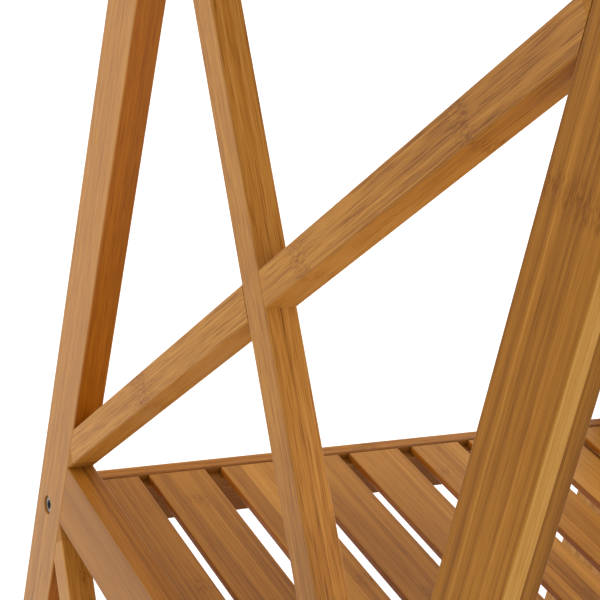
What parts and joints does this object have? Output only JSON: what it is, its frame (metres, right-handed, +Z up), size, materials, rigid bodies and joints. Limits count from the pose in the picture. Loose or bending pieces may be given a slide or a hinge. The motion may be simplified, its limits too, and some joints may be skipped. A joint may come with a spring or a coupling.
{
  "type": "ladder shelf",
  "caption": "Upright open shelf: two bamboo side frames braced by half-lapped X bars, with slatted shelves whose slats lie in rebated rails bolted through the posts.",
  "frame": {"origin": "centre of the footprint at floor level, under the four foot pads", "axes": "+Z up; +Y from the open front to the open rear, along the slats; +X from the left side frame to the right one, along the shelf rails"},
  "size_m": [0.442, 0.4, 0.9705],
  "materials": {
    "bamboo_frame": "satin lacquered bamboo, honey brown",
    "bamboo_slats": "satin lacquered bamboo, slightly redder strips",
    "bamboo_shelf_rails": "satin lacquered bamboo",
    "dowel_wood": "plain beech",
    "bolt_steel": "zinc-plated steel",
    "nut_steel": "zinc-plated steel",
    "foot_pad": "dark rubber, matt"
  },
  "bodies": {
    "root": {"barrel_nuts": "nut_steel", "batten_dowels": "dowel_wood", "bottom_shelf_batten": "bamboo_shelf_rails", "bottom_shelf_front_rail": "bamboo_shelf_rails", "bottom_shelf_rear_rail": "bamboo_shelf_rails", "bottom_shelf_slat_1": "bamboo_slats", "bottom_shelf_slat_2": "bamboo_slats", "bottom_shelf_slat_3": "bamboo_slats", "bottom_shelf_slat_4": "bamboo_slats", "bottom_shelf_slat_5": "bamboo_slats", "bottom_shelf_slat_6": "bamboo_slats", "bottom_shelf_slat_7": "bamboo_slats", "bottom_shelf_slat_8": "bamboo_slats", "bottom_shelf_slat_9": "bamboo_slats", "brace_dowels": "dowel_wood", "connecting_bolts": "bolt_steel", "foot_pads": "foot_pad", "left_bottom_side_rail": "bamboo_frame", "left_front_post": "bamboo_frame", "left_lower_falling_brace": "bamboo_frame", "left_lower_rising_brace": "bamboo_frame", "left_middle_side_rail": "bamboo_frame", "left_rear_post": "bamboo_frame", "left_top_side_rail": "bamboo_frame", "left_upper_falling_brace": "bamboo_frame", "left_upper_rising_brace": "bamboo_frame", "middle_shelf_batten": "bamboo_shelf_rails", "middle_shelf_front_rail": "bamboo_shelf_rails", "middle_shelf_rear_rail": "bamboo_shelf_rails", "middle_shelf_slat_1": "bamboo_slats", "middle_shelf_slat_2": "bamboo_slats", "middle_shelf_slat_3": "bamboo_slats", "middle_shelf_slat_4": "bamboo_slats", "middle_shelf_slat_5": "bamboo_slats", "middle_shelf_slat_6": "bamboo_slats", "middle_shelf_slat_7": "bamboo_slats", "middle_shelf_slat_8": "bamboo_slats", "middle_shelf_slat_9": "bamboo_slats", "right_bottom_side_rail": "bamboo_frame", "right_front_post": "bamboo_frame", "right_lower_falling_brace": "bamboo_frame", "right_lower_rising_brace": "bamboo_frame", "right_middle_side_rail": "bamboo_frame", "right_rear_post": "bamboo_frame", "right_top_side_rail": "bamboo_frame", "right_upper_falling_brace": "bamboo_frame", "right_upper_rising_brace": "bamboo_frame", "side_rail_dowels": "dowel_wood", "top_shelf_batten": "bamboo_shelf_rails", "top_shelf_front_rail": "bamboo_shelf_rails", "top_shelf_rear_rail": "bamboo_shelf_rails", "top_shelf_slat_1": "bamboo_slats", "top_shelf_slat_2": "bamboo_slats", "top_shelf_slat_3": "bamboo_slats", "top_shelf_slat_4": "bamboo_slats", "top_shelf_slat_5": "bamboo_slats", "top_shelf_slat_6": "bamboo_slats", "top_shelf_slat_7": "bamboo_slats", "top_shelf_slat_8": "bamboo_slats", "top_shelf_slat_9": "bamboo_slats"}
  },
  "joints": []
}
